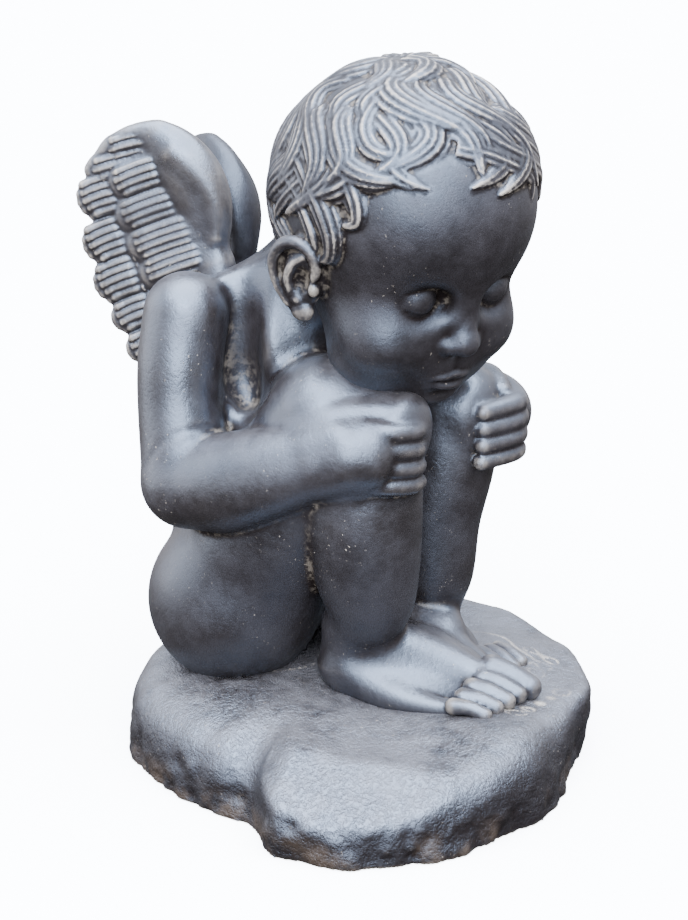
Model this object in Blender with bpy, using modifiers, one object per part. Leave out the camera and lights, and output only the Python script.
"""Crouching cherub on a rock: one solid casting, hugging its knees, with small wings.

The figure faces -Y and its right side is -X. The work stands on its flat underside at z = 0, with the
origin at the bottom centre of its bounding box. Forms are laid out in design centimetres about the
figure's own midline, then brought to the real height.
"""

import math

import bmesh
import bpy
from mathutils import Euler, Matrix, Vector

HEIGHT = 0.39  # rock underside to the top of the curls, in metres
CM = HEIGHT / 39.0  # one design centimetre

VOXEL = 0.24 * CM  # grain of the fused casting
SMOOTHING = 3  # passes that round the joins between limbs
MOST_TRIANGLES = 9400

STONE_COLOUR = (0.09, 0.09, 0.105, 1.0)
STONE_ROUGHNESS = 0.48

RIGHT, LEFT = -1, 1  # the figure's own sides

# the rock: reach of its rim from its middle, in cm, at angles from +X in degrees
ROCK_MIDDLE = Vector((-1.8, -0.3, 0.9))
ROCK_RISE = 3.5
ROCK_FLATNESS = 0.6
ROCK_RIM = [
    (0, 13.4), (26, 12.6), (70, 12.7), (105, 12.8), (132, 12.5), (157, 11.9), (178, 11.5), (188, 11.9),
    (198, 14.0), (212, 14.8), (240, 14.2), (256, 13.8), (271, 13.0), (286, 12.8), (312, 13.1), (339, 13.1),
]
ROCK_SHOULDER = 0.3  # how square the side of the rock stands: 0 would be upright
ROCK_FACE = (186, 258)  # degrees between which the front slopes instead
ROCK_FACE_SHOULDER = 0.62

# the head, in its own frame: face to -Y, crown to +Z
HEAD_CENTRE = Vector((-0.85, -2.7, 31.6))
HEAD_BOW = math.radians(23)
HEAD_YAW = math.radians(-20)  # towards its own right
SKULL = Vector((6.35, 7.0, 6.65))
EAR = (6.1, -0.7, -3.4)
HAIR_CAP = (0.3, 0.35, 0.3)  # middle of the cap under the locks
HAIR_FULLER = 0.45  # extra volume of the hair over the left temple and the top, in cm
HAIR_FULL_SIDE = Vector((0.78, -0.25, 0.58))
HAIRLINE = [  # turn from the face in degrees, its right negative, and the lowest height on the unit skull
    (-180, -0.62), (-106, -0.6), (-102, -0.14), (-84, -0.1), (-76, 0.1), (-70, 0.36),
    (-58, 0.46), (-45, 0.56), (-10, 0.62), (5, 0.56), (20, 0.44), (50, 0.38), (72, 0.28),
    (80, 0.0), (102, -0.14), (106, -0.6), (181, -0.62),
]
CROWN_TILT = math.radians(24)  # how far behind the top the hair parts
LOCK_RINGS = [  # locks in the ring, and where it starts and ends down the skull, in degrees from the crown
    (9, 10, 44), (19, 34, 80), (26, 68, 150),
]
LOCK_WAVE = 0.17

# the torso: height, distance behind the middle, half width and half depth, in cm
TORSO = [
    (9.0, 6.6, 6.2, 5.0), (11.6, 7.1, 6.05, 4.85), (14.2, 7.4, 5.9, 4.75), (16.8, 7.1, 5.9, 4.8),
    (19.4, 6.6, 5.6, 4.7), (21.6, 6.2, 5.1, 4.3), (23.4, 5.8, 4.6, 3.9),
]
TORSO_TALL = 4.4  # half height of each form of the torso

# a wing, in its own sheet: u runs back and outward from the spine, z is the height in cm
WING_PAD = [  # u, z and radius of the smooth leading edge
    (5.2, 33.5, 0.8), (4.5, 33.25, 1.15), (3.8, 32.65, 1.4), (3.0, 31.6, 1.55), (2.35, 30.3, 1.35),
    (1.9, 29.1, 1.0), (1.6, 27.9, 0.7),
]
WING_ROOT = [(0.2, 21.5, 2.0), (1.2, 24.6, 1.5), (1.7, 27.0, 0.9)]
OUTER_FEATHERS = [  # u, z where each feather starts and ends, from the top, and half its width
    (5.0, 34.1, 7.2, 33.2, 0.5), (5.4, 32.9, 8.65, 31.6, 0.75), (6.9, 30.6, 9.1, 29.65, 0.8),
    (6.6, 28.45, 8.95, 27.4, 0.8), (5.9, 26.3, 8.45, 25.2, 0.8), (5.2, 24.3, 7.55, 23.25, 0.75),
    (4.6, 22.4, 6.7, 21.5, 0.7),
]
INNER_FEATHERS = [
    (4.9, 31.95, 7.6, 30.95, 0.75), (4.0, 30.35, 7.25, 29.15, 0.75), (3.1, 28.8, 6.65, 27.5, 0.75),
    (2.4, 27.3, 6.0, 25.95, 0.75), (2.0, 25.65, 5.3, 24.3, 0.75), (1.8, 24.0, 4.6, 22.75, 0.75),
]
OUTER_THICK, INNER_THICK = 0.4, 0.68  # how far each column stands out from the middle of the sheet
RIB = 0.4  # radius of the ribs of a feather
RIB_CROWN = 0.2  # how much further the middle rib stands out

# what differs between the two sides: the turned head lifts the right wing and drops the left
SIDES = {
    RIGHT: {
        "wing_root": (1.6, 7.0), "wing_turn": 24.8, "wing_low": 0.0, "toe_in": 2.2, "foot_back": 0.0,
        "ankle": 1.95, "knee_high": 0.6, "hand_high": 0.0, "hand_out": 0.0, "hand_round": 0.0,
    },
    LEFT: {
        "wing_root": (0.9, 7.4), "wing_turn": 19.0, "wing_low": 1.4, "toe_in": 1.5, "foot_back": 1.9,
        "ankle": 1.65, "knee_high": -0.8, "hand_high": -0.75, "hand_out": 0.55, "hand_round": 1.5,
    },
}


def clear_scene():
    for item in list(bpy.data.objects):
        bpy.data.objects.remove(item, do_unlink=True)


# ---- clay: closed shapes that overlap in one mesh, fused later by the Remesh modifier ----


def spin_matrix(turn):
    return Euler([math.radians(a) for a in turn], "XYZ").to_matrix().to_4x4()


class Clay:
    """Balls go straight into one mesh; limbs wait as the splines of one bevelled curve."""

    def __init__(self):
        self.mesh = bmesh.new()
        self.tubes = bpy.data.curves.new("limbs", "CURVE")
        self.tubes.dimensions = "3D"
        self.tubes.bevel_depth = 1
        self.tubes.bevel_resolution = 3
        self.tubes.use_fill_caps = True

    def finished(self, name):
        """One mesh of everything laid down so far, at its real size."""
        holder = bpy.data.objects.new("limbs", self.tubes)
        bpy.context.scene.collection.objects.link(holder)
        graph = bpy.context.evaluated_depsgraph_get()
        tubes = bpy.data.meshes.new_from_object(holder.evaluated_get(graph))
        self.mesh.from_mesh(tubes)
        bpy.data.objects.remove(holder)
        bpy.data.meshes.remove(tubes)
        mesh = bpy.data.meshes.new(name)
        self.mesh.to_mesh(mesh)
        self.mesh.free()
        mesh.transform(Matrix.Scale(CM, 4))
        return mesh


def ball(clay, centre, radii, turn=(0, 0, 0), place=Matrix.Identity(4)):
    """An ellipsoid, with its turn in degrees."""
    if isinstance(radii, (int, float)):
        radii = (radii, radii, radii)
    shape = place @ Matrix.Translation(centre) @ spin_matrix(turn) @ Matrix.Diagonal((*radii, 1))
    bmesh.ops.create_icosphere(clay.mesh, subdivisions=3, radius=1, matrix=shape)


def smooth_path(points, steps):
    """A Catmull-Rom curve through points of any number of coordinates, such as x, y, z and radius."""
    padded = [points[0], *points, points[-1]]
    path = []
    for a, b, c, d in zip(padded, padded[1:], padded[2:], padded[3:]):
        for k in range(steps):
            t = k / steps
            path.append([
                0.5 * (2 * q + (r - p) * t + (2 * p - 5 * q + 4 * r - s) * t * t
                       + (3 * q - p - 3 * r + s) * t ** 3)
                for p, q, r, s in zip(a, b, c, d)
            ])
    path.append(list(points[-1]))
    return path


def limb(clay, points, steps=5, place=Matrix.Identity(4)):
    """A round limb through (x, y, z, radius) points, with a ball at each end."""
    path = smooth_path(points, steps)
    spline = clay.tubes.splines.new("POLY")
    spline.points.add(len(path) - 1)
    for point, (x, y, z, radius) in zip(spline.points, path):
        point.co = (*(place @ Vector((x, y, z))), 1)
        point.radius = radius
    for x, y, z, radius in (path[0], path[-1]):
        ball(clay, place @ Vector((x, y, z)), radius)


# ---- the rock ----


def rim_reach(angle):
    """How far the rock reaches at an angle, eased between the named points of its rim."""
    closed = [*ROCK_RIM, (ROCK_RIM[0][0] + 360, ROCK_RIM[0][1])]
    for (a0, r0), (a1, r1) in zip(closed, closed[1:]):
        if a0 <= angle < a1:
            t = (angle - a0) / (a1 - a0)
            return r0 + (r1 - r0) * (3 * t * t - 2 * t ** 3)
    return ROCK_RIM[0][1]


def shoulder(angle):
    """How the side of the rock leans in at an angle: the front slopes and the rest stands square."""
    first, last = ROCK_FACE
    if not first < angle < last:
        return ROCK_SHOULDER
    within = math.sin(math.pi * (angle - first) / (last - first))
    return ROCK_SHOULDER + (ROCK_FACE_SHOULDER - ROCK_SHOULDER) * within


def rock(clay):
    """A rounded boulder slab: a sphere pushed out to the rim, flat enough on top to sit on."""
    sphere = bmesh.ops.create_uvsphere(clay.mesh, u_segments=72, v_segments=32, radius=1)
    for vert in sphere["verts"]:
        across = max(math.hypot(vert.co.x, vert.co.y), 1e-6)
        angle = math.degrees(math.atan2(vert.co.y, vert.co.x)) % 360
        grow = rim_reach(angle) * across ** shoulder(angle) / across
        rise = math.copysign(abs(vert.co.z) ** ROCK_FLATNESS, vert.co.z) * ROCK_RISE
        vert.co = ROCK_MIDDLE + Vector((vert.co.x * grow, vert.co.y * grow, rise))
    ball(clay, (-3.0, 3.5, 2.6), (9.0, 7.5, 2.3))
    ball(clay, (-8.5, -6.6, 2.4), (4.6, 5.0, 1.9), (8, 0, 30))
    ball(clay, (4.0, -6.0, 2.3), (5.0, 4.4, 1.9))


# ---- the body ----


def torso(clay):
    for z, y, wide, deep in smooth_path(TORSO, 3):
        ball(clay, (0, y, z), (wide, deep, TORSO_TALL), (1.2 * (z - TORSO[0][0]), 0, 0))
    ball(clay, (0, 2.2, 14.5), (3.6, 4.2, 7.5))
    limb(clay, [(0, 4.6, 23.8, 3.7), (-0.4, 2.4, 26.4, 3.4), (-0.8, 0.4, 28.6, 3.6)])
    for side in (RIGHT, LEFT):
        limb(clay, [
            (side * 1.5, 4.4, 25.6, 2.3), (side * 3.9, 6.8, 24.7, 2.1), (side * 6.0, 7.5, 24.6, 2.3),
        ])


def arm(clay, side):
    elbow = (side * 7.9, 6.5, 16.1, 2.55)
    limb(clay, [
        (side * 6.3, 7.65, 24.9, 2.3), (side * 6.95, 7.6, 22.4, 2.3), (side * 7.3, 7.4, 20.0, 2.35), elbow,
    ])
    limb(clay, [
        elbow, (side * 7.8, 3.8, 16.5, 2.75), (side * 7.5, 1.0, 17.6, 2.4), (side * 7.1, -1.2, 18.5, 2.05),
    ])


def hand(clay, side):
    """A plump back on the outside of the knee, four fingers round its front and the thumb on top."""
    setting = SIDES[side]
    out = setting["hand_out"]
    tip_x, tip_y = 3.9 - setting["hand_round"], -5.6 + 0.4 * setting["hand_round"]
    place = Matrix.Translation((side * out, -out, setting["hand_high"]))
    ball(clay, (side * 6.75, -2.3, 18.9), (1.75, 2.6, 2.2), (-14, 0, side * 20), place)
    ball(clay, (side * 6.1, -3.5, 19.0), (1.65, 2.2, 2.15), (-10, 0, side * 26), place)
    for finger in range(4):
        high = 20.35 - 0.95 * finger
        limb(clay, [
            (side * 6.5, -4.1, high, 0.66), (side * 5.7, -5.15, high - 0.1, 0.66),
            (side * 4.7, -5.7, high - 0.2, 0.62), (side * tip_x, tip_y, high - 0.3, 0.54),
        ], place=place)
    limb(clay, [
        (side * 7.3, -0.4, 19.7, 0.9), (side * 6.9, -1.7, 20.6, 0.8), (side * 6.15, -3.0, 21.15, 0.75),
        (side * 5.3, -4.1, 21.2, 0.68), (side * 4.6, -4.9, 20.85, 0.6),
    ], place=place)


def leg(clay, side):
    rise, ankle = SIDES[side]["knee_high"], SIDES[side]["ankle"]
    back = 0.25 * SIDES[side]["foot_back"]
    drop = min(rise, 0)
    ball(clay, (side * 4.4, 6.4, 8.4), (4.9, 5.0, 5.0))
    limb(clay, [
        (side * 4.4, 5.6, 9.0, 4.5), (side * 4.4, 3.1, 13.7, 4.2),
        (side * 4.3, 0.7, 18.0 + 0.7 * rise, 3.8), (side * 4.2, -0.4, 19.1 + rise, 3.7 + 0.35 * drop),
    ])
    limb(clay, [
        (side * 4.1, -2.7, 19.4 + 0.5 * rise, 2.75), (side * 4.1, -2.3, 16.0, 3.3 + 0.2 * drop),
        (side * 3.8, back - 2.3, 12.2, 3.0 + 0.2 * drop), (side * 3.55, back - 2.6, 9.0, 2.5 + 0.2 * drop),
        (side * 3.5, back - 2.6, 7.6, ankle + 0.25),
    ])


def foot(clay, side):
    setting = SIDES[side]
    toe_in, ankle = setting["toe_in"] * -side, setting["ankle"]
    front = setting["foot_back"] - 7.3  # y of the ball of the foot
    heel = side * 3.6
    ball_of_foot = side * 3.2 + toe_in * 0.7
    limb(clay, [(side * 3.5, -2.6, 8.0, ankle + 0.25), (heel, -1.4, 5.8, ankle)])
    limb(clay, [
        (heel, -2.2, 6.4, ankle + 0.15), (heel + toe_in * 0.3, 0.3 * front - 2.8, 5.8, ankle - 0.05),
        (ball_of_foot, front, 5.0, 1.4),
    ])
    ball(clay, (ball_of_foot, front, 4.8), (2.3, 2.3, 1.2))
    for toe in range(5):
        spread = side * (1.9 - 0.92 * toe)
        size = (0.5, 0.54, 0.58, 0.62, 0.8)[toe]
        limb(clay, [
            (ball_of_foot + spread, front - 1.1, 4.9, size),
            (ball_of_foot + toe_in * 0.25 + spread * 1.05, front - 2.2 - 0.15 * toe, 4.7, size),
        ])


# ---- the head ----


def head_place():
    return Matrix.Translation(HEAD_CENTRE) @ Euler((HEAD_BOW, 0, HEAD_YAW), "XYZ").to_matrix().to_4x4()


def head(clay):
    place = head_place()
    ball(clay, (0, 0, 0), SKULL, place=place)
    ball(clay, (0, -2.2, 0.4), (6.1, 5.3, 5.4), place=place)
    ball(clay, (0, -2.3, -4.1), (5.3, 4.9, 5.2), place=place)
    ball(clay, (0, -5.1, -7.9), (2.2, 1.9, 1.4), place=place)
    ball(clay, (0, -5.7, -6.1), (2.4, 1.6, 1.9), place=place)
    limb(clay, [(0, -7.0, -1.6, 0.5), (0, -7.5, -3.1, 0.6), (0, -7.6, -3.9, 0.85)], place=place)
    ball(clay, (0, -6.6, -6.0), (1.7, 1.1, 0.65), place=place)
    ball(clay, (0, -6.5, -6.8), (1.3, 1.0, 0.55), place=place)
    for side in (RIGHT, LEFT):
        ball(clay, (side * 2.9, -4.4, -5.0), (2.3, 2.4, 2.2), place=place)
        ball(clay, (side * 2.5, -3.7, -7.1), (2.1, 2.2, 1.9), place=place)
        ball(clay, (side * 0.8, -7.3, -4.1), (0.55, 0.7, 0.5), place=place)
        ball(clay, (side * 2.6, -6.0, -1.7), (1.3, 0.8, 0.75), (0, 0, side * 14), place=place)
        brow = [(side * 1.0, -6.7, -0.4, 0.3), (side * 2.6, -6.5, 0.3, 0.4), (side * 4.3, -5.4, -0.4, 0.3)]
        limb(clay, brow, place=place)
        ear(clay, side, place)


def ear(clay, side, place):
    """An oval rim round a shallow bowl, with a lobe, standing off the side of the head."""
    x, y, z = EAR
    rim = []
    for k in range(8):
        turn = math.radians(-100 + 40 * k)
        rim.append((side * (x + 0.4), y - 1.25 * math.cos(turn), z + 0.6 + 1.8 * math.sin(turn), 0.48))
    limb(clay, rim, place=place)
    ball(clay, (side * (x + 0.1), y - 0.5, z - 1.5), (0.65, 0.8, 0.85), place=place)
    ball(clay, (side * (x - 0.1), y, z + 0.4), (0.6, 1.2, 1.8), place=place)


def hairline(turn):
    """Lowest height of the hair on the unit skull, between the named points."""
    for (t0, z0), (t1, z1) in zip(HAIRLINE, HAIRLINE[1:]):
        if t0 <= turn < t1:
            return z0 + (z1 - z0) * (turn - t0) / (t1 - t0)
    return HAIRLINE[-1][1]


def on_skull(direction, proud):
    """The point that stands proud of the skull along a direction from its middle."""
    fuller = HAIR_FULLER * max(0.0, direction.dot(HAIR_FULL_SIDE))
    return Vector(a * b for a, b in zip(direction, SKULL)) + direction * (proud + fuller)


def curls(clay):
    """Wavy locks that run down the skull from the crown, in rings that overlap like tiles."""
    place = head_place()
    tilt = Matrix.Rotation(-CROWN_TILT, 3, "X")
    ball(clay, HAIR_CAP, SKULL, place=place)
    for ring, (count, first, last) in enumerate(LOCK_RINGS):
        for n in range(count):
            points = []
            for down in range(first, last, 8):
                polar = math.radians(down)
                t = (down - first) / (last - first)
                flat = math.sin(polar)
                around = math.tau * (n + 0.5 * (ring % 2)) / count + LOCK_WAVE * math.sin(down / 8.5) / flat
                spot = Vector((flat * math.sin(around), -flat * math.cos(around), math.cos(polar)))
                direction = tilt @ spot
                turn = math.degrees(math.atan2(direction.x, -direction.y))
                if direction.z < hairline(turn):
                    break
                thick = 0.62 + 0.14 * math.sin(math.pi * t)
                points.append((*on_skull(direction, 0.15 - 0.08 * ring), thick))
            if len(points) > 1:
                limb(clay, points, steps=2, place=place)


# ---- the wings ----


def wing_point(side, u, z, off=0.0):
    """A point of the wing's sheet, with its distance off towards the figure's flank."""
    setting = SIDES[side]
    x, y = setting["wing_root"]
    turn = math.radians(setting["wing_turn"])
    x += u * math.sin(turn) + off * math.cos(turn)
    y += u * math.cos(turn) - off * math.sin(turn)
    return (side * x, y, z - setting["wing_low"])


def feather(clay, side, start, tip, half, thick):
    """Three ribs side by side, shorter at the edges, on both faces of the sheet."""
    run = (tip - start).normalized()
    across = Vector((-run.y, run.x)) * half
    for step in (-1, 0, 1):
        a = start + across * step
        b = tip + across * step - run * (RIB + 0.3 * abs(step))
        out = thick - RIB + RIB_CROWN * (1 - abs(step))
        for off in (out, -out):
            limb(clay, [(*wing_point(side, *a, off), RIB), (*wing_point(side, *b, off), RIB)], steps=1)


def wing(clay, side):
    """A smooth leading pad with two columns of ribbed feathers behind it."""
    for column in (WING_PAD, WING_ROOT):
        limb(clay, [(*wing_point(side, u, z), radius) for u, z, radius in column])
    for row, thick in ((OUTER_FEATHERS, OUTER_THICK), (INNER_FEATHERS, INNER_THICK)):
        for u0, z0, u1, z1, half in row:
            feather(clay, side, Vector((u0, z0)), Vector((u1, z1)), half, thick)


# ---- the whole ----


def stone():
    material = bpy.data.materials.new("dark cast stone")
    material.use_nodes = True
    shader = material.node_tree.nodes["Principled BSDF"]
    shader.inputs["Base Color"].default_value = STONE_COLOUR
    shader.inputs["Roughness"].default_value = STONE_ROUGHNESS
    material.diffuse_color = STONE_COLOUR
    return material


def triangles(obj):
    graph = bpy.context.evaluated_depsgraph_get()
    mesh = obj.evaluated_get(graph).to_mesh()
    mesh.calc_loop_triangles()
    return len(mesh.loop_triangles)


def fuse(clay, name, collection):
    """Turns the overlapping shapes into one casting with rounded joins and few faces."""
    mesh = clay.finished(name)
    mesh.materials.append(stone())
    statue = bpy.data.objects.new(name, mesh)
    collection.objects.link(statue)
    remesh = statue.modifiers.new("fuse", "REMESH")
    remesh.mode = "VOXEL"
    remesh.voxel_size = VOXEL
    soften = statue.modifiers.new("round", "SMOOTH")
    soften.factor = 0.5
    soften.iterations = SMOOTHING
    fine = triangles(statue)
    decimate = statue.modifiers.new("lighten", "DECIMATE")
    decimate.ratio = min(1.0, MOST_TRIANGLES / fine)
    return statue


def cut_flat(statue, cutters):
    """Trims the rock flat at the ground."""
    cutter_mesh = bpy.data.meshes.new("ground")
    box = bmesh.new()
    below = Matrix.Translation((0, 0, -0.05)) @ Matrix.Diagonal((0.6, 0.6, 0.1, 1))
    bmesh.ops.create_cube(box, size=1, matrix=below)
    box.to_mesh(cutter_mesh)
    box.free()
    ground = bpy.data.objects.new("ground", cutter_mesh)
    ground.hide_render = True
    ground.display_type = "WIRE"
    cutters.objects.link(ground)
    trim = statue.modifiers.new("trim", "BOOLEAN")
    trim.operation = "DIFFERENCE"
    trim.solver = "EXACT"
    trim.object = ground
    return ground


def stand_on_origin(statue, ground):
    """Brings the work to its real height, over the bottom centre of its bounding box."""
    graph = bpy.context.evaluated_depsgraph_get()
    points = [v.co for v in statue.evaluated_get(graph).to_mesh().vertices]
    low = [min(p[i] for p in points) for i in range(3)]
    high = [max(p[i] for p in points) for i in range(3)]
    grow = HEIGHT / high[2]
    stand = bpy.data.objects.new("stand", None)
    statue.users_collection[0].objects.link(stand)
    for obj in (statue, ground):
        obj.parent = stand
    stand.scale = (grow, grow, grow)
    stand.location = (-grow * (low[0] + high[0]) / 2, -grow * (low[1] + high[1]) / 2, -grow * low[2])


def main():
    clear_scene()
    collection = bpy.data.collections.new("cherub statue")
    cutters = bpy.data.collections.new("cutters")
    for group in (collection, cutters):
        bpy.context.scene.collection.children.link(group)
    clay = Clay()
    rock(clay)
    torso(clay)
    for side in (RIGHT, LEFT):
        arm(clay, side)
        hand(clay, side)
        leg(clay, side)
        foot(clay, side)
        wing(clay, side)
    head(clay)
    curls(clay)
    statue = fuse(clay, "cherub_statue", collection)
    ground = cut_flat(statue, cutters)
    stand_on_origin(statue, ground)


main()
